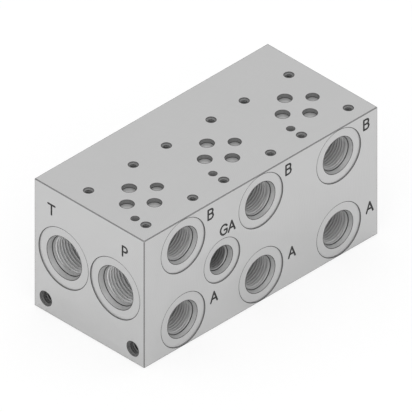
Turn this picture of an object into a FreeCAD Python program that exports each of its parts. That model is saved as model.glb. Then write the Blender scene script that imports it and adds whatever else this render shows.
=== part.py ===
import FreeCAD, Part
import os
import Sketcher
from FreeCAD import Placement, Rotation, Vector

# Hydraulic valve subplate: one bar of aluminium, machined all over, that carries a row of
# directional valves and joins their ports to threaded hose ports.
# The origin is the centre of the underside. X runs along the bar, Y to the rear and Z up.
# The work ports are in the front face and the pressure and tank ports are in the left end.
# Each tapped hole is drawn as wide as the outside of its thread, without the thread itself.

DOCUMENT = "ValveSubplate"
NODE = "manifold_block"

# Driving sizes, in millimetres and degrees
SIZES = {
    # the bar and its valve stations
    "station_count": 3,
    "station_pitch": 53.975,
    "block_width": 76.2,
    "block_height": 76.2,
    "edge_break": 0.3,
    # the valve pattern, counted from its first screw: along the valve, and across it
    "pattern_back": 11.975,
    "across_centre": 15.5,
    "across_pressure": 25.9,
    "across_tank": 5.1,
    "across_rear_left": 31,
    "across_front_right": -0.75,
    "across_front_left": 31.75,
    "along_work_a": 12.7,
    "along_supply": 21.5,
    "along_work_b": 30.2,
    "along_pin": 33,
    "along_front": 40.5,
    # the valve ports, their pin hole and their mounting screws
    "valve_port": 7.14,
    "tank_mouth": 6.35,
    "tank_mouth_depth": 1.7,
    "tank_drill": 5,
    "overrun": 2,
    "pin_hole": 3.97,
    "pin_depth": 5,
    "screw_thread": 4.83,
    "screw_depth": 15.9,
    # the straight-thread ports, for an O-ring seal
    "spot_depth": 0.5,
    # pressure and tank ports, each at the left end of its gallery
    "gallery_offset": 17.86,
    "gallery": 16.67,
    "gallery_end_wall": 12,
    "supply_spot": 34.04,
    "supply_mouth": 23.8,
    "supply_cone": 15,
    "supply_thread": 22.23,
    "supply_depth": 17,
    # work ports, two below one another at each station
    "work_inset": 15.875,
    "work_spot": 30.23,
    "work_mouth": 20.4,
    "work_cone": 15,
    "work_thread": 19.05,
    "work_depth": 15.5,
    "work_drill": 9.53,
    # gauge port
    "gauge_spot": 24.64,
    "gauge_mouth": 15.55,
    "gauge_cone": 12,
    "gauge_thread": 14.29,
    "gauge_depth": 17,
    # the bolt holes in both ends
    "bolt_inset": 7.94,
    "bolt_thread": 7.94,
    "bolt_depth": 14.3,
}

# Places that follow from the driving sizes, as expressions
HALF_LENGTH = "Sizes.station_count * Sizes.station_pitch / 2"
HALF_WIDTH = "Sizes.block_width / 2"
HEIGHT = "Sizes.block_height"
GALLERY_HEIGHT = "Sizes.block_height / 2"
FIRST_STATION = "(1 - Sizes.station_count) * Sizes.station_pitch / 2"
SUPPLY_LINE = "(Sizes.pattern_back - Sizes.along_supply)"
DROP = "(Sizes.block_height - Sizes.block_height / 2)"


def station_x(across):
    """The X place at the first station of a point that lies this far across the valve pattern."""
    return f"{FIRST_STATION} + Sizes.across_centre - {across}"


def station_y(along):
    """The Y place of a point that lies this far along the valve pattern."""
    return f"Sizes.pattern_back - {along}"


def make_sheet(doc):
    """The spreadsheet with a named cell for each driving size."""
    sheet = doc.addObject("Spreadsheet::Sheet", "Sizes")
    for row, (name, value) in enumerate(SIZES.items(), start=1):
        sheet.set(f"A{row}", name)
        sheet.set(f"B{row}", str(value))
        sheet.setAlias(f"B{row}", name)
    doc.recompute()


def origin_feature(body, role):
    """One of the body's own origin planes or axes."""
    return next(feature for feature in body.Origin.OriginFeatures if feature.Role == role)


def make_sketch(body, name, plane, place, turn=None):
    """A sketch on an origin plane, moved in that plane's own axes to three expressions.

    A turn is an axis and an angle, and the angle is a number or an expression.
    """
    sketch = body.newObject("Sketcher::SketchObject", name)
    sketch.AttachmentSupport = (origin_feature(body, plane), [""])
    sketch.MapMode = "FlatFace"
    if turn:
        axis, angle = turn
        start = 1 if isinstance(angle, str) else angle
        sketch.AttachmentOffset = Placement(Vector(), Rotation(axis, start))
        if isinstance(angle, str):
            sketch.setExpression("AttachmentOffset.Rotation.Angle", angle)
    for letter, text in zip("xyz", place):
        sketch.setExpression(f"AttachmentOffset.Base.{letter}", text)
    body.Document.recompute()
    return sketch


def number(sketch, text):
    """What an expression comes to, to draw a sketch close to its final form."""
    value = sketch.evalExpression(text)
    return float(getattr(value, "Value", value))


def bind(sketch, constraint, text):
    """Adds a constraint whose value follows an expression."""
    index = sketch.addConstraint(constraint)
    sketch.setExpression(f"Constraints[{index}]", text)


def add_circle(sketch, x, y, diameter):
    """A circle whose centre and diameter follow three expressions."""
    at_x, at_y, size = (number(sketch, text) for text in (x, y, diameter))
    circle = sketch.addGeometry(Part.Circle(Vector(at_x, at_y, 0), Vector(0, 0, 1), size / 2), False)
    bind(sketch, Sketcher.Constraint("DistanceX", -1, 1, circle, 3, at_x), x)
    bind(sketch, Sketcher.Constraint("DistanceY", -1, 1, circle, 3, at_y), y)
    bind(sketch, Sketcher.Constraint("Diameter", circle, size), diameter)


def add_outline(sketch, corners):
    """A closed outline of straight lines, each corner at a pair of expressions."""
    points = [Vector(number(sketch, x), number(sketch, y), 0) for x, y in corners]
    lines = [
        sketch.addGeometry(Part.LineSegment(points[i - 1], points[i]), False)
        for i in range(len(points))
    ]
    for line, following in zip(lines, lines[1:] + lines[:1]):
        sketch.addConstraint(Sketcher.Constraint("Coincident", line, 2, following, 1))
    for line, point, (x, y) in zip(lines, points, corners):
        bind(sketch, Sketcher.Constraint("DistanceX", -1, 1, line, 2, point.x), x)
        bind(sketch, Sketcher.Constraint("DistanceY", -1, 1, line, 2, point.y), y)


def expect_cut(body, feature, before):
    """Sets the body's tip to a feature and stops if it took nothing off the block."""
    body.Tip = feature
    body.Document.recompute()
    if not feature.Shape.Volume < before - 1:
        raise RuntimeError(f"{feature.Name} cuts nothing")
    return feature


def make_pocket(body, name, sketch, depth):
    """A flat-bottomed pocket into the block from a sketch on its surface."""
    before = body.Shape.Volume
    pocket = body.newObject("PartDesign::Pocket", name)
    pocket.Profile = sketch
    pocket.Type = "Length"
    pocket.setExpression("Length", depth)
    sketch.Visibility = False
    return expect_cut(body, pocket, before)


def make_groove(body, name, sketch, axis):
    """A turned recess: a sketch revolved about one of its own axes."""
    before = body.Shape.Volume
    groove = body.newObject("PartDesign::Groove", name)
    groove.Profile = sketch
    groove.ReferenceAxis = (sketch, [axis])
    groove.Angle = 360
    sketch.Visibility = False
    return expect_cut(body, groove, before)


def make_tapped_holes(body, name, sketch, thread, depth, along_normal=False):
    """Flat-ended holes for a thread, drawn at its outer size.

    They run against the sketch's normal, or along it where that points into the block.
    """
    before = body.Shape.Volume
    hole = body.newObject("PartDesign::Hole", name)
    hole.Profile = sketch
    body.Document.recompute()
    hole.ThreadType = "None"
    hole.DepthType = "Dimension"
    hole.DrillPoint = "Flat"
    hole.setExpression("Diameter", thread)
    hole.setExpression("Depth", depth)
    hole.Reversed = along_normal
    sketch.Visibility = False
    return expect_cut(body, hole, before)


def port_corners(kind, depth, beyond="0"):
    """Half the section of a straight-thread port, from its face inward.

    The face is spotted for the fitting's hex, and a cone from there to the thread seats the O-ring.
    Past its depth it narrows to the radius beyond.
    """
    slope = f"tan(Sizes.{kind}_cone * 1 deg)"
    seat = f"Sizes.spot_depth + (Sizes.{kind}_mouth - Sizes.{kind}_thread) / 2 / {slope}"
    return [
        ("0", "0"),
        ("0", f"Sizes.{kind}_spot / 2"),
        ("Sizes.spot_depth", f"Sizes.{kind}_spot / 2"),
        ("Sizes.spot_depth", f"Sizes.{kind}_mouth / 2"),
        (seat, f"Sizes.{kind}_thread / 2"),
        (depth, f"Sizes.{kind}_thread / 2"),
        (depth, beyond),
    ]


def make_block(body):
    """The bar itself, with its outer edges broken."""
    sketch = make_sketch(body, "BlockOutline", "XY_Plane", ("0", "0", "0"))
    add_outline(sketch, [
        (f"-{HALF_LENGTH}", f"-{HALF_WIDTH}"),
        (HALF_LENGTH, f"-{HALF_WIDTH}"),
        (HALF_LENGTH, HALF_WIDTH),
        (f"-{HALF_LENGTH}", HALF_WIDTH),
    ])
    pad = body.newObject("PartDesign::Pad", "Block")
    pad.Profile = sketch
    pad.setExpression("Length", HEIGHT)
    sketch.Visibility = False
    body.Tip = pad
    body.Document.recompute()
    edges = body.newObject("PartDesign::Chamfer", "EdgeBreak")
    edges.Base = (pad, [f"Edge{i}" for i in range(1, len(pad.Shape.Edges) + 1)])
    edges.setExpression("Size", "Sizes.edge_break")
    expect_cut(body, edges, pad.Shape.Volume)


def make_gallery(body, name, side):
    """A blind gallery along the bar, with a supply port at its left end; side is 1 for the rear one."""
    place = (f"-{HALF_LENGTH}", GALLERY_HEIGHT, f"{-side} * Sizes.gallery_offset")
    sketch = make_sketch(body, f"{name}Section", "XZ_Plane", place)
    far_end = f"2 * {HALF_LENGTH} - Sizes.gallery_end_wall"
    corners = port_corners("supply", "Sizes.supply_depth", "Sizes.gallery / 2")
    add_outline(sketch, corners + [(far_end, "Sizes.gallery / 2"), (far_end, "0")])
    make_groove(body, name, sketch, "H_Axis")


def make_gauge_port(body):
    """The gauge port, between the first two stations, drilled straight into the pressure gallery."""
    place = (f"-{HALF_WIDTH}", GALLERY_HEIGHT, f"{FIRST_STATION} + Sizes.station_pitch / 2")
    sketch = make_sketch(body, "GaugeSection", "YZ_Plane", place)
    add_outline(sketch, port_corners("gauge", "Sizes.gauge_depth"))
    make_groove(body, "GaugePort", sketch, "H_Axis")


def make_work_port(body, name, height, along):
    """A work port at the first station, with a narrower drilling on to where the valve's comes down."""
    sketch = make_sketch(body, f"{name}Section", "YZ_Plane", (f"-{HALF_WIDTH}", height, FIRST_STATION))
    reach = f"{HALF_WIDTH} + {station_y(along)} + Sizes.overrun"
    corners = port_corners("work", "Sizes.work_depth", "Sizes.work_drill / 2")
    add_outline(sketch, corners + [(reach, "Sizes.work_drill / 2"), (reach, "0")])
    return make_groove(body, name, sketch, "H_Axis")


def valve_sketch(body, name):
    """A sketch on the valve face of the first station, with the pattern's first screw as its origin."""
    place = (station_x("0"), station_y("0"), HEIGHT)
    return make_sketch(body, name, "XY_Plane", place, (Vector(0, 0, 1), 180))


def make_drilling(body, name, across, along, diameter, depth):
    """A round hole straight down from the valve face."""
    sketch = valve_sketch(body, f"{name}Circle")
    add_circle(sketch, across, along, diameter)
    return make_pocket(body, name, sketch, depth)


def make_tank_drilling(body):
    """The drilling that slants from the tank mouth to the axis of the tank gallery."""
    run = f"(Sizes.gallery_offset - {SUPPLY_LINE})"
    slant = (Vector(0, 0, 1), f"atan({run} / {DROP})")
    place = (SUPPLY_LINE, HEIGHT, station_x("Sizes.across_tank"))
    sketch = make_sketch(body, "TankDrillingSection", "YZ_Plane", place, slant)
    length = f"sqrt({run} * {run} + {DROP} * {DROP})"
    add_outline(sketch, [
        ("0", "0"),
        ("Sizes.tank_drill / 2", "0"),
        ("Sizes.tank_drill / 2", f"-{length}"),
        ("0", f"-{length}"),
    ])
    return make_groove(body, "TankDrilling", sketch, "V_Axis")


def make_screw_holes(body):
    """The four tapped holes of a valve's mounting screws."""
    sketch = valve_sketch(body, "ScrewCircles")
    for across, along in (
        ("0", "0"),
        ("Sizes.across_rear_left", "0"),
        ("Sizes.across_front_right", "Sizes.along_front"),
        ("Sizes.across_front_left", "Sizes.along_front"),
    ):
        add_circle(sketch, across, along, "Sizes.screw_thread")
    return make_tapped_holes(body, "ScrewHoles", sketch, "Sizes.screw_thread", "Sizes.screw_depth")


def make_stations(body):
    """Everything that a valve needs, made at the first station and repeated along the bar.

    Drillings that meet run a little past each other's axes.
    """
    centre = "Sizes.across_centre"
    station = [
        make_work_port(body, "WorkPortA", "Sizes.work_inset", "Sizes.along_work_a"),
        make_work_port(body, "WorkPortB", f"{HEIGHT} - Sizes.work_inset", "Sizes.along_work_b"),
        make_drilling(body, "DrillingA", centre, "Sizes.along_work_a", "Sizes.valve_port",
                      f"{HEIGHT} - Sizes.work_inset + Sizes.overrun"),
        make_drilling(body, "DrillingB", centre, "Sizes.along_work_b", "Sizes.valve_port",
                      "Sizes.work_inset + Sizes.overrun"),
        make_drilling(body, "DrillingP", "Sizes.across_pressure", "Sizes.along_supply",
                      "Sizes.valve_port", f"{DROP} + Sizes.overrun"),
        make_drilling(body, "TankMouth", "Sizes.across_tank", "Sizes.along_supply",
                      "Sizes.tank_mouth", "Sizes.tank_mouth_depth"),
        make_tank_drilling(body),
        make_drilling(body, "PinHole", "Sizes.across_front_left", "Sizes.along_pin",
                      "Sizes.pin_hole", "Sizes.pin_depth"),
        make_screw_holes(body),
    ]
    before = body.Shape.Volume
    row = body.newObject("PartDesign::LinearPattern", "Stations")
    row.Originals = station
    row.Direction = (origin_feature(body, "X_Axis"), [""])
    row.setExpression("Length", "(Sizes.station_count - 1) * Sizes.station_pitch")
    row.setExpression("Occurrences", "Sizes.station_count")
    expect_cut(body, row, before)


def make_end_bolt_holes(body):
    """Two tapped holes low in each end, to bolt the bar down through brackets."""
    place = ("0", "0", f"-{HALF_LENGTH}")
    sketch = make_sketch(body, "BoltCircles", "YZ_Plane", place)
    for side in ("-", ""):
        y = f"{side}({HALF_WIDTH} - Sizes.bolt_inset)"
        add_circle(sketch, y, "Sizes.bolt_inset", "Sizes.bolt_thread")
    holes = make_tapped_holes(body, "BoltHoles", sketch, "Sizes.bolt_thread", "Sizes.bolt_depth", True)
    before = body.Shape.Volume
    both = body.newObject("PartDesign::Mirrored", "BoltHolesBothEnds")
    both.Originals = [holes]
    both.MirrorPlane = (origin_feature(body, "YZ_Plane"), [""])
    expect_cut(body, both, before)


def check(doc, body):
    """Stops if anything in the document failed or the block isn't one sound solid."""
    for item in doc.Objects:
        if any(word in ("Invalid", "Error") for word in item.State):
            raise RuntimeError(f"{item.Name} failed: {item.State}")
    shape = body.Shape
    if shape.isNull() or not shape.isValid() or len(shape.Solids) != 1:
        raise RuntimeError("the block isn't one valid solid")


def main():
    doc = FreeCAD.newDocument(DOCUMENT)
    make_sheet(doc)
    body = doc.addObject("PartDesign::Body", "ManifoldBlock")
    body.Label = NODE
    make_block(body)
    make_gallery(body, "PressureGallery", -1)
    make_gallery(body, "TankGallery", 1)
    make_gauge_port(body)
    make_stations(body)
    make_end_bolt_holes(body)
    doc.recompute()
    check(doc, body)
    os.makedirs("parts", exist_ok=True)
    body.Shape.exportStep(os.path.join("parts", f"{body.Label}.step"))
    box = body.Shape.BoundBox
    print(f"{NODE}: {box.XLength:.3f} x {box.YLength:.3f} x {box.ZLength:.3f} mm")
    print(f"volume {body.Shape.Volume / 1000:.1f} cm3, {len(body.Shape.Faces)} faces")


main()
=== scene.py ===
import math

import bmesh
import bpy
from mathutils import Matrix, Vector


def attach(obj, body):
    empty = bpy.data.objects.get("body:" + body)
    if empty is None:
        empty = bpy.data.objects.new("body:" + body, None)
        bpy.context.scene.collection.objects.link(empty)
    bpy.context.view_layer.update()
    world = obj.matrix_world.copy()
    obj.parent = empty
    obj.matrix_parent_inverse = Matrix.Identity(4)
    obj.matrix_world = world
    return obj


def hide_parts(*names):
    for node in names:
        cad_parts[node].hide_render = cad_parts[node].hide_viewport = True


# Looks of the hydraulic valve subplate: one block, cut again in fine detail, with its threads, broken
# edges and port marks. Lengths are in millimetres until the mesh is finished, and then in metres.

MM = 0.001
INCH = 25.4
X, Y, Z = range(3)

# The block and its three valve stations
LENGTH, WIDTH, HEIGHT = 161.925, 76.2, 76.2
PITCH = 53.975
STATIONS = (-PITCH, 0.0, PITCH)

# The block's broken edges, and the strip of each face beside them, painted dark as a line of shade
EDGE, SHADE_STRIP = 0.3, 0.16

# The broken rim of a hole: how much wider than the hole it is, and how deep
RIM, RIM_DROP = 0.34, 0.07

# How far outside a face a cutting form starts, and how far a turned form is turned, in parts of a side
OUTSIDE, OFF_LINE = 2.0, 0.37

# Sides of the turned forms, and the length of a drill's cone for each millimetre of its radius
PORT_SIDES, MOUTH_SIDES, TAPPED_SIDES, DRILLED_SIDES = 96, 56, 48, 40
DRILL_CONE = 0.6

# Places of the valve pattern, from the centre of a station to the right and to the rear
REAR_ROW, FRONT_ROW = 11.975, -28.525
SCREWS = ((-15.5, REAR_ROW), (15.5, REAR_ROW), (-16.25, FRONT_ROW), (16.25, FRONT_ROW))
MOUTH_P, MOUTH_T = (-10.4, -9.525), (10.4, -9.525)
MOUTH_A, MOUTH_B = (0.0, -0.725), (0.0, -18.225)
PIN = (-16.25, -21.025)

# The pin hole's radius and depth, and each mouth of the valve with its radius
PIN_R, PIN_DEPTH = 1.985, 5.0
MOUTHS = ((MOUTH_P, 3.57), (MOUTH_A, 3.57), (MOUTH_B, 3.57), (MOUTH_T, 3.175))

# Depth of the mouths, and the dark line of painted shade at the foot of their walls: its height, and how
# much the wall narrows there for each millimetre
MOUTH_DEPTH = 2.3
MOUTH_FOOT, FOOT_TAPER = 0.3, 0.1

# Galleries along the block, work ports and the drillings behind them, how far these run past the axis
# that they meet, the gauge port, and the bolt holes' distance from the block's edges
GALLERY_Y, GALLERY_Z, GALLERY_R = 17.86, 38.1, 8.335
GALLERY_END = LENGTH - 12.0
WORK_A_Z, WORK_B_Z = 15.875, HEIGHT - 15.875
WORK_DRILL_R, WORK_DRILL_PAST = 4.765, 2.0
GAUGE_X = STATIONS[0] + PITCH / 2
BOLT_INSET = 7.94

# Drillings below the mouths: radius, how far off the mouth's centre and how deep they start, how far
# the straight ones run past the axis that they meet, and the length of their tip. The slanted ones
# start a little further off and deeper.
DRILLING_R, DRILLING_ASIDE, DRILLING_START = 1.35, -1.2, 0.9
DRILLING_PAST, DRILLING_TIP = 1.0, 1.0
SLANT_ASIDE, SLANT_START = -0.4, 1.6

# Straight-thread ports: radii of the spotface and of the seat's mouth, angle of the seat and depth of
# the tapped bore, and then the thread's outer radius, pitch, depth and steps a turn
PORT_10 = dict(spot=17.02, mouth=11.9, cone=15, bore=18.0,
               major=11.1125, pitch=INCH / 14, depth=17.0, steps=64)
PORT_8 = dict(spot=15.115, mouth=10.2, cone=15, bore=15.5,
              major=9.525, pitch=INCH / 16, depth=15.2, steps=56)
PORT_6 = dict(spot=12.32, mouth=7.775, cone=12, bore=17.0,
              major=7.144, pitch=INCH / 18, depth=17.0, steps=48)
SPOT_DEPTH = 0.5

# The ledge where a seat ends: its width, its depth and the dark line of painted shade before it; and the
# length of the lead below it for each millimetre that the lead narrows
LEDGE, LEDGE_DROP, LEDGE_LAND = 0.26, 0.06, 0.32
LEAD_SLOPE = 1.6

# Tapped holes, in the same words, and the depth of the recess at their mouths
SCREW = dict(bore=15.9, major=2.413, pitch=INCH / 24, depth=12.7, steps=20)
BOLT = dict(bore=14.3, major=3.969, pitch=INCH / 18, depth=12.0, steps=28)
RECESS = 0.4

# Threads, in parts of the pitch: depth, overlap with the bore, flat at the root, and where the groove
# starts below a port's seat and below a tapped hole's face
THREAD_DEPTH, THREAD_OVERLAP, THREAD_ROOT = 0.5413, 0.1, 1 / 16
PORT_THREAD_START, HOLE_THREAD_START = 0.5, -0.6

# Half the angle of a thread. Its groove fades over a turn divided by FADE_PART, and at its ends has
# LEAST_GROOVE of its depth.
THREAD_ANGLE = 30
FADE_PART, LEAST_GROOVE = 3, 0.02

# Strokes of each mark in a frame one wide and one high, as lists of corners
STROKES = {
    "T": [[(0.0, 1.0), (1.0, 1.0)],
          [(0.5, 1.0), (0.5, 0.0)]],
    "P": [[(0.0, 0.0), (0.0, 1.0), (0.6, 1.0), (0.88, 0.9), (1.0, 0.74), (0.88, 0.56), (0.6, 0.46),
           (0.0, 0.46)]],
    "A": [[(0.0, 0.0), (0.5, 1.0), (1.0, 0.0)],
          [(0.17, 0.33), (0.83, 0.33)]],
    "B": [[(0.0, 0.0), (0.0, 1.0), (0.6, 1.0), (0.85, 0.93), (0.93, 0.77), (0.85, 0.61), (0.6, 0.54),
           (0.0, 0.54)],
          [(0.6, 0.54), (0.88, 0.46), (1.0, 0.27), (0.88, 0.08), (0.6, 0.0), (0.0, 0.0)]],
    "G": [[(1.0, 0.8), (0.84, 0.94), (0.57, 1.0), (0.3, 0.94), (0.08, 0.74), (0.0, 0.5), (0.08, 0.26),
           (0.3, 0.06), (0.57, 0.0), (0.84, 0.06), (1.0, 0.2), (1.0, 0.46), (0.62, 0.46)]],
}
LETTER_WIDTHS = {"T": 4.6, "P": 3.3, "A": 4.45, "B": 3.5, "G": 4.5}
LETTER_HEIGHT, LETTER_STROKE, LETTER_DEPTH = 5.8, 1.12, 0.35
LETTER_OUTSIDE, ROUND_STEPS = 0.5, 8

# Lower left corners of the marks: across and up on the left end, along and up on the front, and along
# from the centre of a station and up. A face is given by the ways to its right and into the block.
END_MARKS = (("T", 28.55, 60.3), ("P", -23.06, 60.3))
GAUGE_MARKS = (("G", -28.1, 52.8), ("A", -22.5, 52.75))
STATION_MARKS = (("B", 17.38, 66.87), ("A", 19.23, 16.1))
LEFT_FACE, FRONT_FACE = ((0, -1, 0), (1, 0, 0)), ((1, 0, 0), (0, 1, 0))

# Numbers of the materials, in the order of block_materials()
FACE, BORE, LIT_GALLERY, LEAD_AND_PIN_SHADE, SHADED_BOLT_HOLE, SHADED_HOLE, EDGES, SHADE_LINES, MARK_SHADE = range(9)

# Sorting faces by material. How near to a surface counts as on it, how far below a face its rims and
# marks reach, and the spare room round a mark
NEAR, RIM_REACH, MARK_START, MARK_SPARE = 0.02, 0.06, 0.01, 0.05
MARK_ROOM, BOX_SPARE = 1.0, 0.001

# The slope of a face to the outer face above it: 1 is level with it and 0 is a wall
LEVEL, WALL = 0.999, 0.1
EDGE_SLOPES, RIM_SLOPES, SEAT_SLOPES = (0.6, 0.8), (0.9, 0.995), (0.15, 0.995)

# Room round the axis of each kind of hole, and how far in from the outer face its faces are sorted
PIN_ROOM, SCREW_ROOM, MOUTH_ROOM, BOLT_ROOM, GALLERY_ROOM = 2.5, 2.9, 3.8, 4.4, 12.0
TOP_REACH, BOLT_REACH, GALLERY_REACH = 20.0, 17.0, 20.0
GAUGE_SPARE, GAUGE_END_Y = 0.05, -20.0

# Two faces that meet at more than this angle are shaded with a sharp edge between them
SHARP_ANGLE = 24

# Milling marks, in metres: radius of the mill, feed, unevenness and the scale of its noise; and how
# fine the scratches are across and along the arcs. A face looks along an axis when more than FACING
# of its normal does.
MILL_RADIUS, FEED, WOBBLE, WOBBLE_SCALE = 0.055, 0.0011, 0.0006, 60.0
SCRATCH_ACROSS, SCRATCH_ALONG = 2600.0, 60.0
FACING = 0.7

# The milled faces: their greys and the painted shade strip's, each pattern's share of the grey, the
# cloud's scale, roughness with what the scratches add, metallic share, and the bumps with the arcs' part
FACE_GREYS, SHADE_STRIP_GREY = (0.485, 0.565), 0.05
RING_SHARE, SCRATCH_SHARE, CLOUD_SHARE, CLOUD_SCALE = 0.25, 0.55, 0.2, 45.0
FACE_ROUGH, SCRATCH_ROUGH, FACE_METALLIC = 0.32, 0.16, 0.75
FACE_BUMP, RING_BUMP = 0.25, 0.5

# Metal with a fine grain: scales of the grain, what it adds to the roughness, and its bumps
GRAIN_SCALE, MARK_GRAIN_SCALE, GRAIN_ROUGH, GRAIN_BUMP = 900.0, 1200.0, 0.2, 0.3
NOISE_DETAIL, WOBBLE_DETAIL = 3.0, 2.0
BUMP_HEIGHT = 0.00002

# Floor, light and camera, in metres
WHITE = (1, 1, 1, 1)
FLOOR_SIZE, FLOOR_GAP, FLOOR_GLOW = 4.0, 0.0002, 0.75
TARGET = Vector((0, 0, HEIGHT / 2 * MM))
VIEW = Vector((-1, -1, 1)).normalized()
VIEW_DISTANCE, VIEW_WIDTH, VIEW_END = 1.0, 0.20208, 10.0
LAMP_WAY = Vector((-1, -1, 1.3)).normalized()
LAMP_DISTANCE, LAMP_SIZE, LAMP_POWER = 1.6, 1.2, 5.0
WORLD_LIGHT = 0.95


# Meshes


def add_object(name, data):
    """A linked object with this mesh, lamp or camera."""
    obj = bpy.data.objects.new(name, data)
    bpy.context.scene.collection.objects.link(obj)
    return obj


def mesh_object(name, bm):
    """A linked object from a bmesh, which is freed."""
    mesh = bpy.data.meshes.new(name)
    bm.to_mesh(mesh)
    bm.free()
    return add_object(name, mesh)


def inward(point, direction):
    """Places a form drawn about Z, with its top at 0 and its depth along +Z, into the block."""
    turn = Vector((0, 0, 1)).rotation_difference(Vector(direction)).to_matrix().to_4x4()
    return Matrix.Translation(Vector(point)) @ turn


def add_turned(bm, profile, sides, place):
    """A closed turned form from (depth, radius) corners. It ends flat, or in a point of radius 0.

    Its corners are turned off the line of the thread's, so that the two never meet corner on corner.
    """
    rings = []
    for depth, radius in profile:
        if radius == 0:
            rings.append([bm.verts.new(place @ Vector((0, 0, depth)))])
            continue
        ring = []
        for i in range(sides):
            a = 2 * math.pi * (i + OFF_LINE) / sides
            ring.append(bm.verts.new(place @ Vector((radius * math.cos(a), radius * math.sin(a), depth))))
        rings.append(ring)
    for low, high in zip(rings, rings[1:]):
        for i in range(sides):
            j = (i + 1) % sides
            if len(low) == 1:
                bm.faces.new((low[0], high[j], high[i]))
            elif len(high) == 1:
                bm.faces.new((low[i], low[j], high[0]))
            else:
                bm.faces.new((low[i], low[j], high[j], high[i]))
    if len(rings[0]) > 1:
        bm.faces.new(list(reversed(rings[0])))
    if len(rings[-1]) > 1:
        bm.faces.new(rings[-1])


def minor(thread):
    """Radius of the tapped bore inside the thread."""
    return thread["major"] - THREAD_DEPTH * thread["pitch"]


def add_thread(bm, thread, start, place):
    """The groove that a tap leaves: a V swept along a helix, from start to the thread's depth."""
    pitch, major, steps = thread["pitch"], thread["major"], thread["steps"]
    inner = minor(thread) - THREAD_OVERLAP * pitch
    root = pitch * THREAD_ROOT
    mouth = root + (major - inner) * math.tan(math.radians(THREAD_ANGLE))
    count = int(round((thread["depth"] - start) / pitch * steps))
    fade = steps // FADE_PART
    sections = []
    for i in range(count + 1):
        a = 2 * math.pi * i / steps
        z = start + pitch * i / steps
        fullness = max(min(1.0, i / fade, (count - i) / fade), LEAST_GROOVE)
        reach = inner + (major - inner) * fullness
        half = mouth + (root - mouth) * fullness
        corners = ((inner, -mouth), (reach, -half), (reach, half), (inner, mouth))
        sections.append([
            bm.verts.new(place @ Vector((r * math.cos(a), r * math.sin(a), z + dz))) for r, dz in corners
        ])
    for low, high in zip(sections, sections[1:]):
        for k in range(4):
            m = (k + 1) % 4
            bm.faces.new((low[k], low[m], high[m], high[k]))
    bm.faces.new(list(reversed(sections[0])))
    bm.faces.new(sections[-1])


def cut(target, name, fill, *details):
    """Takes the forms that fill() adds off the target."""
    bm = bmesh.new()
    fill(bm, *details)
    bmesh.ops.recalc_face_normals(bm, faces=bm.faces[:])
    bmesh.ops.triangulate(bm, faces=[f for f in bm.faces if len(f.verts) > 4])
    cutter = mesh_object(name, bm)
    modifier = target.modifiers.new(name, "BOOLEAN")
    modifier.operation = "DIFFERENCE"
    modifier.solver = "MANIFOLD"
    modifier.object = cutter
    depsgraph = bpy.context.evaluated_depsgraph_get()
    result = bpy.data.meshes.new_from_object(target.evaluated_get(depsgraph))
    target.modifiers.clear()
    before = target.data
    target.data = result
    bpy.data.meshes.remove(before)
    bpy.data.meshes.remove(cutter.data)


# Forms of the block


def bar():
    """The bar with its edges broken."""
    bm = bmesh.new()
    bmesh.ops.create_cube(bm, size=1.0)
    for v in bm.verts:
        v.co = Vector((v.co.x * LENGTH, v.co.y * WIDTH, (v.co.z + 0.5) * HEIGHT))
    bmesh.ops.bevel(bm, geom=bm.edges[:], offset=EDGE, segments=1, affect="EDGES", profile=0.5)
    return mesh_object("block", bm)


def left_place(y, z):
    return inward((-LENGTH / 2, y, z), (1, 0, 0))


def right_place(y, z):
    return inward((LENGTH / 2, y, z), (-1, 0, 0))


def front_place(x, z):
    return inward((x, -WIDTH / 2, z), (0, 1, 0))


def top_place(x, y):
    return inward((x, y, HEIGHT), (0, 0, -1))


def seat_end(port):
    """How deep the cone that seats the O-ring ends."""
    return SPOT_DEPTH + (port["mouth"] - port["major"]) / math.tan(math.radians(port["cone"]))


def lead_length(port):
    """Depth of the cone that leads from the ledge to the tapped bore."""
    return LEAD_SLOPE * (port["major"] - LEDGE - minor(port))


def broken_rim(radius):
    """The first corners of a hole's section, with its rim broken."""
    return [(-OUTSIDE, radius + RIM), (0.0, radius + RIM), (RIM_DROP, radius)]


def drill_end(depth, radius):
    """The last corners of a hole's section, with the cone of the drill."""
    return [(depth, radius), (depth + DRILL_CONE * radius, 0.0)]


def port_profile(port, beyond):
    """Half the section of a straight-thread port; beyond is what lies past its lead."""
    seat = seat_end(port)
    land_radius = port["major"] + LEDGE_LAND * math.tan(math.radians(port["cone"]))
    return broken_rim(port["spot"]) + [
        (SPOT_DEPTH, port["spot"]),
        (SPOT_DEPTH, port["mouth"] + RIM),
        (SPOT_DEPTH + RIM_DROP, port["mouth"]),
        (seat - LEDGE_LAND, land_radius),
        (seat, port["major"]),
        (seat + LEDGE_DROP, port["major"] - LEDGE),
        (seat + LEDGE_DROP + lead_length(port), minor(port)),
    ] + beyond


def tapped_profile(thread):
    """Half the section of a tapped hole before its thread is cut."""
    major, drill = thread["major"], minor(thread)
    recess = [(RECESS, major), (RECESS + (major - drill), drill)]
    return broken_rim(major) + recess + drill_end(thread["bore"], drill)


def mouth_profile(radius):
    """Half the section of a valve's mouth, whose wall narrows at its foot."""
    foot = [(MOUTH_DEPTH - MOUTH_FOOT, radius), (MOUTH_DEPTH, radius - FOOT_TAPER * MOUTH_FOOT)]
    return broken_rim(radius) + foot


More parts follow.
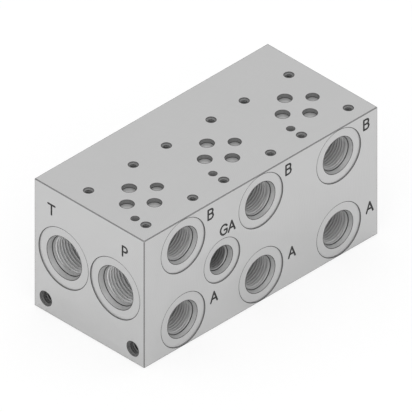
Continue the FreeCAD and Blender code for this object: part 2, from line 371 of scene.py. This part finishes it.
def port_list():
    """Each port with its place and what lies past its lead."""
    ports = []
    bore, drill = PORT_10["bore"], minor(PORT_10)
    for y in (-GALLERY_Y, GALLERY_Y):
        narrowing = [(bore, drill), (bore + drill - GALLERY_R, GALLERY_R)]
        ports.append((PORT_10, left_place(y, GALLERY_Z), narrowing + drill_end(GALLERY_END, GALLERY_R)))
    bore, drill = PORT_8["bore"], minor(PORT_8)
    for x in STATIONS:
        for z, (_, y) in ((WORK_A_Z, MOUTH_A), (WORK_B_Z, MOUTH_B)):
            narrowing = [(bore, drill), (bore + DRILL_CONE * (drill - WORK_DRILL_R), WORK_DRILL_R)]
            end = drill_end(WIDTH / 2 + y + WORK_DRILL_PAST, WORK_DRILL_R)
            ports.append((PORT_8, front_place(x, z), narrowing + end))
    ports.append((PORT_6, front_place(GAUGE_X, GALLERY_Z), drill_end(PORT_6["bore"], minor(PORT_6))))
    return ports


def tapped_list():
    """Each tapped hole's thread with its place."""
    holes = [(SCREW, top_place(x + dx, y)) for x in STATIONS for dx, y in SCREWS]
    y = WIDTH / 2 - BOLT_INSET
    for end_place in (left_place, right_place):
        holes += [(BOLT, end_place(side * y, BOLT_INSET)) for side in (-1, 1)]
    return holes


def fill_ports(bm):
    for port, place, beyond in port_list():
        add_turned(bm, port_profile(port, beyond), PORT_SIDES, place)


def fill_drillings(bm):
    """The drillings that go straight down from the pressure and work mouths."""
    for x in STATIONS:
        for (dx, y), z in ((MOUTH_P, GALLERY_Z), (MOUTH_A, WORK_A_Z), (MOUTH_B, WORK_B_Z)):
            end = HEIGHT - z + DRILLING_PAST
            profile = [(DRILLING_START, DRILLING_R), (end, DRILLING_R), (end + DRILLING_TIP, 0.0)]
            place = top_place(x + dx + DRILLING_ASIDE, y + DRILLING_ASIDE)
            add_turned(bm, profile, DRILLED_SIDES, place)


def fill_slants(bm):
    """The drillings that slant from the tank mouths to the tank gallery."""
    dx, y = MOUTH_T
    for x in STATIONS:
        start = Vector((x + dx + DRILLING_ASIDE, y + DRILLING_ASIDE + SLANT_ASIDE, HEIGHT - SLANT_START))
        run = Vector((start.x, GALLERY_Y, GALLERY_Z)) - start
        profile = [(0.0, DRILLING_R), (run.length, DRILLING_R), (run.length + DRILLING_TIP, 0.0)]
        add_turned(bm, profile, DRILLED_SIDES, inward(start, run))


def fill_mouths(bm):
    """The shallow round mouths that the valve's O-rings seal round, and the pin holes."""
    pin_profile = broken_rim(PIN_R) + drill_end(PIN_DEPTH, PIN_R)
    for x in STATIONS:
        for (dx, y), radius in MOUTHS:
            add_turned(bm, mouth_profile(radius), MOUTH_SIDES, top_place(x + dx, y))
        add_turned(bm, pin_profile, DRILLED_SIDES, top_place(x + PIN[0], PIN[1]))


def fill_tapped_holes(bm):
    for thread, place in tapped_list():
        add_turned(bm, tapped_profile(thread), TAPPED_SIDES, place)


def fill_port_threads(bm):
    for port, place, _ in port_list():
        add_thread(bm, port, seat_end(port) + PORT_THREAD_START * port["pitch"], place)


def fill_hole_threads(bm):
    for thread, place in tapped_list():
        add_thread(bm, thread, HOLE_THREAD_START * thread["pitch"], place)


# Engraved port marks


def add_stroke(bm, start, end, place):
    """A bar with round ends between two points of a mark, as a closed form."""
    run = end - start
    side = Vector((-run.y, run.x)).normalized() * (LETTER_STROKE / 2)
    along = run.normalized() * (LETTER_STROKE / 2)
    angles = [math.pi * i / ROUND_STEPS for i in range(ROUND_STEPS + 1)]
    outline = [end - side * math.cos(a) + along * math.sin(a) for a in angles]
    outline += [start + side * math.cos(a) - along * math.sin(a) for a in angles]
    top = [bm.verts.new(place @ Vector((p.x, p.y, -LETTER_OUTSIDE))) for p in outline]
    low = [bm.verts.new(place @ Vector((p.x, p.y, LETTER_DEPTH))) for p in outline]
    for i in range(len(outline)):
        j = (i + 1) % len(outline)
        bm.faces.new((top[i], top[j], low[j], low[i]))
    bm.faces.new(list(reversed(top)))
    bm.faces.new(low)


def mark_place(corner, right, into):
    """A place whose X runs right, Y up and Z into the block."""
    turn = Matrix((right, (0, 0, 1), into)).transposed().to_4x4()
    return Matrix.Translation(Vector(corner)) @ turn


def mark_list():
    """Each mark with the place of its lower left corner."""
    marks = [(name, mark_place((-LENGTH / 2, y, z), *LEFT_FACE)) for name, y, z in END_MARKS]
    marks += [(name, mark_place((x, -WIDTH / 2, z), *FRONT_FACE)) for name, x, z in GAUGE_MARKS]
    for x in STATIONS:
        for name, dx, z in STATION_MARKS:
            marks.append((name, mark_place((x + dx, -WIDTH / 2, z), *FRONT_FACE)))
    return marks


def stroke_list(name):
    """The strokes of a mark in millimetres, each as its two ends."""
    strokes = []
    for line in STROKES[name]:
        corners = [Vector((x * LETTER_WIDTHS[name], y * LETTER_HEIGHT)) for x, y in line]
        strokes += zip(corners, corners[1:])
    return strokes


def fill_strokes(bm, marks, index):
    """The stroke of this number of each mark that has so many."""
    for strokes, place in marks:
        if index < len(strokes):
            start, end = strokes[index]
            add_stroke(bm, start, end, place)


def cut_marks(target):
    """Engraves the marks. Strokes that cross are cut one after another."""
    marks = [(stroke_list(name), place) for name, place in mark_list()]
    for index in range(max(len(strokes) for strokes, _ in marks)):
        cut(target, f"marks_{index}", fill_strokes, marks, index)


# Materials


def set_inputs(owner, made, inputs):
    """Gives a node's inputs their values, or links them to other nodes' outputs."""
    for key, value in inputs.items():
        if isinstance(value, bpy.types.NodeSocket):
            owner.node_tree.links.new(value, made.inputs[key])
        else:
            made.inputs[key].default_value = value


def node(owner, kind, inputs=None, **settings):
    """Adds a node to a material or a world."""
    made = owner.node_tree.nodes.new(kind)
    for key, value in settings.items():
        setattr(made, key, value)
    set_inputs(owner, made, inputs or {})
    return made


def calc(owner, operation, *values):
    return node(owner, "ShaderNodeMath", dict(enumerate(values)), operation=operation).outputs[0]


def blend(owner, factor, low, high):
    """The number low where the factor is 0, and high where it is 1."""
    return node(owner, "ShaderNodeMix", {0: factor, 2: low, 3: high}, data_type="FLOAT").outputs[0]


def blend_colours(owner, factor, low, high):
    """The colour low where the factor is 0, and high where it is 1."""
    return node(owner, "ShaderNodeMix", {0: factor, 6: low, 7: high}, data_type="RGBA").outputs[2]


def noise(owner, where, scale, detail=NOISE_DETAIL):
    inputs = {"Vector": where, "Scale": scale, "Detail": detail}
    return node(owner, "ShaderNodeTexNoise", inputs).outputs[0]


def bump(owner, height, strength):
    inputs = {"Height": height, "Strength": strength, "Distance": BUMP_HEIGHT}
    return node(owner, "ShaderNodeBump", inputs).outputs[0]


def grey(value):
    return (value, value, value, 1.0)


def new_material(name):
    """A material with a principled shader, and that shader."""
    material = bpy.data.materials.new(name)
    material.use_nodes = True
    material.node_tree.nodes.clear()
    output = node(material, "ShaderNodeOutputMaterial")
    shader = node(material, "ShaderNodeBsdfPrincipled")
    set_inputs(material, output, {"Surface": shader.outputs[0]})
    return material, shader


def feed_marks(material, where):
    """The faint arcs of a face mill, from 0 to 1, and fine scratches along them."""
    normal = node(material, "ShaderNodeNewGeometry").outputs["Normal"]
    place = node(material, "ShaderNodeSeparateXYZ", {0: where}).outputs
    facing = node(material, "ShaderNodeSeparateXYZ", {0: normal}).outputs
    end_face = calc(material, "GREATER_THAN", calc(material, "ABSOLUTE", facing[X]), FACING)
    front_face = calc(material, "GREATER_THAN", calc(material, "ABSOLUTE", facing[Y]), FACING)
    along = blend(material, end_face, place[X], place[Y])
    height = calc(material, "SUBTRACT", place[Z], HEIGHT / 2 * MM)
    across = blend(material, front_face, place[Y], height)
    across = blend(material, end_face, across, height)
    square = calc(material, "MULTIPLY", across, across)
    inside = calc(material, "SUBTRACT", MILL_RADIUS * MILL_RADIUS, square)
    arc = calc(material, "SQRT", calc(material, "MAXIMUM", inside, 0.0))
    phase = calc(material, "SUBTRACT", along, arc)
    wobble = noise(material, where, WOBBLE_SCALE, WOBBLE_DETAIL)
    phase = calc(material, "ADD", phase, calc(material, "MULTIPLY", wobble, WOBBLE))
    rings = calc(material, "SINE", calc(material, "MULTIPLY", phase, 2 * math.pi / FEED))
    rings = calc(material, "MULTIPLY_ADD", rings, 0.5, 0.5)
    line = node(material, "ShaderNodeCombineXYZ", {
        X: calc(material, "MULTIPLY", phase, SCRATCH_ACROSS),
        Y: calc(material, "MULTIPLY", across, SCRATCH_ALONG),
    }).outputs[0]
    return rings, noise(material, line, 1.0)


def edge_shade_strip(material, where):
    """1 in a hair-thin strip along the block's edges, which is painted dark as shade, and 0 elsewhere."""
    place = node(material, "ShaderNodeSeparateXYZ", {0: where}).outputs
    x = calc(material, "SUBTRACT", LENGTH / 2 * MM, calc(material, "ABSOLUTE", place[X]))
    y = calc(material, "SUBTRACT", WIDTH / 2 * MM, calc(material, "ABSOLUTE", place[Y]))
    z = calc(material, "ABSOLUTE", calc(material, "SUBTRACT", place[Z], HEIGHT / 2 * MM))
    z = calc(material, "SUBTRACT", HEIGHT / 2 * MM, z)
    low, high = calc(material, "MINIMUM", x, y), calc(material, "MAXIMUM", x, y)
    second = calc(material, "MAXIMUM", low, calc(material, "MINIMUM", high, z))
    return calc(material, "LESS_THAN", second, (EDGE + SHADE_STRIP) * MM)


def milled_material():
    """The outer faces: bare aluminium with the arcs and scratches of milling, and a painted shade strip
    along the edges.
    """
    material, shader = new_material("milled_aluminium")
    where = node(material, "ShaderNodeTexCoord").outputs["Object"]
    rings, scratch = feed_marks(material, where)
    cloud = noise(material, where, CLOUD_SCALE)
    ring_part = calc(material, "MULTIPLY", rings, RING_SHARE)
    scratch_part = calc(material, "MULTIPLY", scratch, SCRATCH_SHARE)
    pattern = calc(material, "ADD", ring_part, scratch_part)
    pattern = calc(material, "ADD", pattern, calc(material, "MULTIPLY", cloud, CLOUD_SHARE))
    colour = blend_colours(material, pattern, grey(FACE_GREYS[0]), grey(FACE_GREYS[1]))
    # Painted shade: a near-black strip along the block's edges
    colour = blend_colours(material, edge_shade_strip(material, where), colour, grey(SHADE_STRIP_GREY))
    height = calc(material, "ADD", calc(material, "MULTIPLY", rings, RING_BUMP), scratch)
    set_inputs(material, shader, {
        "Base Color": colour,
        "Roughness": calc(material, "MULTIPLY_ADD", scratch, SCRATCH_ROUGH, FACE_ROUGH),
        "Metallic": FACE_METALLIC,
        "Normal": bump(material, height, FACE_BUMP),
    })
    return material


def plain_metal(name, low, high, rough, metallic, scale=GRAIN_SCALE):
    """Metal with a fine grain between two greys."""
    material, shader = new_material(name)
    where = node(material, "ShaderNodeTexCoord").outputs["Object"]
    grain = noise(material, where, scale)
    set_inputs(material, shader, {
        "Base Color": blend_colours(material, grain, grey(low), grey(high)),
        "Roughness": calc(material, "MULTIPLY_ADD", grain, GRAIN_ROUGH, rough),
        "Metallic": metallic,
        "Normal": bump(material, grain, GRAIN_BUMP),
    })
    return material


def block_materials():
    """Every material of the block. A plain metal has two greys, a roughness and a metallic share."""
    return (
        milled_material(),
        plain_metal("bored_aluminium", 0.47, 0.57, 0.38, 0.5),
        # A lighter grey for the end ports' bores and galleries: painted light
        plain_metal("gallery_painted_light", 0.62, 0.72, 0.38, 0.5),
        # A darker grey for the ports' leads and the pin holes: painted shade
        plain_metal("lead_and_pin_painted_shade", 0.32, 0.4, 0.42, 0.4),
        # A nearly black grey for the bolt holes in the ends: painted shade
        plain_metal("bolt_hole_painted_shade", 0.1, 0.145, 0.5, 0.2),
        # A dark grey for the walls of small holes, mouths and spotfaces: painted shade
        plain_metal("drilled_aluminium_painted_shade", 0.19, 0.26, 0.45, 0.3),
        # Dark grey on the chamfers of the broken edges: painted shade lines
        plain_metal("broken_edge_painted_shade", 0.2, 0.27, 0.45, 0.4),
        # Near-black lines of painted shade round the rims of holes, before the seats' ledges and at the
        # foot of the mouths' walls
        plain_metal("painted_shade_line", 0.012, 0.03, 0.6, 0.0),
        # Near-black in the engraved strokes of the marks: painted shade in the recesses
        plain_metal("mark_painted_shade", 0.025, 0.045, 0.6, 0.0, MARK_GRAIN_SCALE),
    )


# Sorting faces by material


def between(limits, value):
    return limits[0] < value < limits[1]


def within(dx, dy, radius):
    return dx * dx + dy * dy < radius * radius


def below_faces(point):
    """How far a point lies below the two nearest outer faces, each with its axis."""
    return sorted((
        (LENGTH / 2 - abs(point.x), X),
        (WIDTH / 2 - abs(point.y), Y),
        (min(point.z, HEIGHT - point.z), Z),
    ))[:2]


def mark_boxes():
    """The room that each mark takes, as its lowest and its highest corner."""
    boxes = []
    for name, place in mark_list():
        near = place @ Vector((-MARK_ROOM, -MARK_ROOM, 0))
        right, up = LETTER_WIDTHS[name] + MARK_ROOM, LETTER_HEIGHT + MARK_ROOM
        far = place @ Vector((right, up, LETTER_DEPTH + MARK_SPARE))
        boxes.append(([min(pair) for pair in zip(near, far)], [max(pair) for pair in zip(near, far)]))
    return boxes


def in_box(point, box):
    return all(low - BOX_SPARE <= c <= high + BOX_SPARE for low, c, high in zip(box[0], point, box[1]))


def from_station(point):
    """How far to the right of the nearest station a point lies."""
    return point.x - min(STATIONS, key=lambda station: abs(station - point.x))


def in_valve_mouth(point):
    """Whether a point lies in, or straight below, one of the valve's four mouths at a station."""
    x = from_station(point)
    return any(within(x - dx, point.y - y, MOUTH_ROOM) for (dx, y), _ in MOUTHS)


def in_gauge_port(point, radius):
    return within(point.x - GAUGE_X, point.z - GALLERY_Z, radius)


def top_hole_kind(point):
    """The material of a face in one of the valve's small holes, or None elsewhere."""
    x = from_station(point)
    # Pin holes, screw holes and the mouths' walls get darker greys of painted shade; the mouths' floors
    # keep the bore's grey
    if within(x - PIN[0], point.y - PIN[1], PIN_ROOM):
        return LEAD_AND_PIN_SHADE
    if any(within(x - dx, point.y - y, SCREW_ROOM) for dx, y in SCREWS):
        return SHADED_HOLE
    if in_valve_mouth(point):
        return BORE if abs(point.z - HEIGHT + MOUTH_DEPTH) <= NEAR else SHADED_HOLE
    return None


def small_hole_kind(point):
    """The material of a face in a small hole, painted darker as shade where little light comes, or None
    elsewhere.
    """
    if point.z > HEIGHT - TOP_REACH:
        kind = top_hole_kind(point)
        if kind is not None:
            return kind
    # The bolt holes in the ends get the darkest grey of painted shade
    by_end = abs(point.x) > LENGTH / 2 - BOLT_REACH
    if by_end and within(abs(point.y) - WIDTH / 2 + BOLT_INSET, point.z - BOLT_INSET, BOLT_ROOM):
        return SHADED_BOLT_HOLE
    past_seat = GAUGE_END_Y > point.y > seat_end(PORT_6) - WIDTH / 2
    return SHADED_HOLE if past_seat and in_gauge_port(point, PORT_6["major"] + GAUGE_SPARE) else None


def seat_kind(point, depth, axis):
    """The material of a sloping face at the end of a port's seat or in its lead, or None elsewhere."""
    if axis == X:
        port = PORT_10
    else:
        port = PORT_6 if in_gauge_port(point, PORT_6["spot"]) else PORT_8
    past_seat = depth - seat_end(port)
    # The land before the ledge is a near-black line of painted shade
    if -LEDGE_LAND < past_seat < LEDGE_DROP:
        return SHADE_LINES
    # The lead below the ledge gets a darker grey of painted shade
    return LEAD_AND_PIN_SHADE if 0 < past_seat < LEDGE_DROP + lead_length(port) else None


def face_kind(point, normal, boxes):
    """Which material a face of the cut block has, from where it lies and faces."""
    (depth, axis), (second, _) = below_faces(point)
    slope = abs(normal[axis])
    if depth < NEAR and slope > LEVEL:
        return FACE
    # The broken edges' chamfers get a dark grey of painted shade
    if second < EDGE + NEAR and between(EDGE_SLOPES, slope):
        return EDGES
    # Faces of the engraved marks get the near-black of painted shade
    if MARK_START < depth < LETTER_DEPTH + MARK_SPARE and any(in_box(point, box) for box in boxes):
        return MARK_SHADE
    # Rims of holes and spotfaces get the near-black of a painted shade line
    at_rim = depth < RIM_REACH or SPOT_DEPTH < depth < SPOT_DEPTH + RIM_REACH
    if at_rim and between(RIM_SLOPES, slope):
        return SHADE_LINES
    if abs(depth - SPOT_DEPTH) < NEAR and slope > LEVEL:
        return FACE
    # Walls of the spotfaces get the dark grey of painted shade
    if depth < SPOT_DEPTH and slope < WALL:
        return SHADED_HOLE
    # The foot of a mouth's wall gets the near-black of a painted shade line
    if NEAR < point.z - HEIGHT + MOUTH_DEPTH < MOUTH_FOOT - NEAR and in_valve_mouth(point):
        return SHADE_LINES
    if axis != Z and between(SEAT_SLOPES, slope):
        kind = seat_kind(point, depth, axis)
        if kind is not None:
            return kind
    kind = small_hole_kind(point)
    if kind is not None:
        return kind
    # The end ports' bores and galleries near the left end get a lighter grey of painted light
    in_gallery = within(abs(point.y) - GALLERY_Y, point.z - GALLERY_Z, GALLERY_ROOM)
    return LIT_GALLERY if in_gallery and seat_end(PORT_10) < point.x + LENGTH / 2 < GALLERY_REACH else BORE


def assign_materials(obj):
    mesh = obj.data
    mesh.materials.clear()
    for material in block_materials():
        mesh.materials.append(material)
    boxes = mark_boxes()
    kinds = [face_kind(face.center, face.normal, boxes) for face in mesh.polygons]
    mesh.polygons.foreach_set("material_index", kinds)
    mesh.update()


# The piece, the floor, the light and the camera


def make_block():
    """The finished block, in metres."""
    block = bar()
    cut(block, "ports", fill_ports)
    cut(block, "drillings", fill_drillings)
    cut(block, "slants", fill_slants)
    cut(block, "mouths", fill_mouths)
    cut(block, "tapped_holes", fill_tapped_holes)
    cut(block, "port_threads", fill_port_threads)
    cut(block, "hole_threads", fill_hole_threads)
    cut_marks(block)
    assign_materials(block)
    mesh = block.data
    mesh.shade_smooth()
    mesh.set_sharp_from_angle(angle=math.radians(SHARP_ANGLE))
    mesh.transform(Matrix.Scale(MM, 4))
    mesh.name = "milled_block"
    block.name = "milled_block"
    return block


def make_stage():
    """A white floor that keeps only a soft shadow."""
    bm = bmesh.new()
    bmesh.ops.create_grid(bm, x_segments=1, y_segments=1, size=FLOOR_SIZE)
    floor = mesh_object("floor", bm)
    floor.location.z = -FLOOR_GAP
    material, shader = new_material("floor_white")
    set_inputs(material, shader, {"Base Color": WHITE, "Roughness": 1.0, "Specular IOR Level": 0.0})
    glow = node(material, "ShaderNodeEmission", {"Color": WHITE, "Strength": 1.0})
    camera_ray = node(material, "ShaderNodeLightPath").outputs["Is Camera Ray"]
    share = calc(material, "MULTIPLY", camera_ray, FLOOR_GLOW)
    mix = node(material, "ShaderNodeMixShader", {0: share, 1: shader.outputs[0], 2: glow.outputs[0]})
    output = next(n for n in material.node_tree.nodes if n.type == "OUTPUT_MATERIAL")
    set_inputs(material, output, {"Surface": mix.outputs[0]})
    floor.data.materials.append(material)


def aim(obj, way, distance):
    """Puts a lamp or a camera this far from the target, looking back at it."""
    obj.location = TARGET + way * distance
    obj.rotation_euler = way.to_track_quat("Z", "Y").to_euler()


def make_light():
    """A white surround, and one large soft lamp from the camera's side."""
    world = bpy.data.worlds.new("surround")
    bpy.context.scene.world = world
    world.use_nodes = True
    world.node_tree.nodes.clear()
    camera_ray = node(world, "ShaderNodeLightPath").outputs["Is Camera Ray"]
    lit = node(world, "ShaderNodeBackground", {"Color": WHITE, "Strength": WORLD_LIGHT})
    seen = node(world, "ShaderNodeBackground", {"Color": WHITE, "Strength": 1.0})
    mix = node(world, "ShaderNodeMixShader", {0: camera_ray, 1: lit.outputs[0], 2: seen.outputs[0]})
    node(world, "ShaderNodeOutputWorld", {"Surface": mix.outputs[0]})
    lamp = bpy.data.lights.new("soft_lamp", "AREA")
    lamp.shape = "DISK"
    lamp.size = LAMP_SIZE
    lamp.energy = LAMP_POWER
    aim(add_object("soft_lamp", lamp), LAMP_WAY, LAMP_DISTANCE)


def make_camera():
    """The photograph's view: isometric and without perspective."""
    data = bpy.data.cameras.new("camera")
    data.type = "ORTHO"
    data.ortho_scale = VIEW_WIDTH
    data.clip_end = VIEW_END
    camera = add_object("camera", data)
    aim(camera, VIEW, VIEW_DISTANCE)
    bpy.context.scene.camera = camera


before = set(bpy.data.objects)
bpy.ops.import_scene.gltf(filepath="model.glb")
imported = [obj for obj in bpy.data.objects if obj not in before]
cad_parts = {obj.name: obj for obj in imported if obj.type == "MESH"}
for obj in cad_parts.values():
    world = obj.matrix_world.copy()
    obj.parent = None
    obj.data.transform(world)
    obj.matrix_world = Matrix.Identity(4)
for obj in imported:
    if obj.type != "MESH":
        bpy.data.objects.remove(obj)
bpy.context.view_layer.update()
block = make_block()
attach(block, "root")
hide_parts("manifold_block")
make_stage()
make_light()
make_camera()
bpy.context.scene.view_settings.view_transform = "Standard"
print("triangles", sum(len(p.vertices) - 2 for p in block.data.polygons))
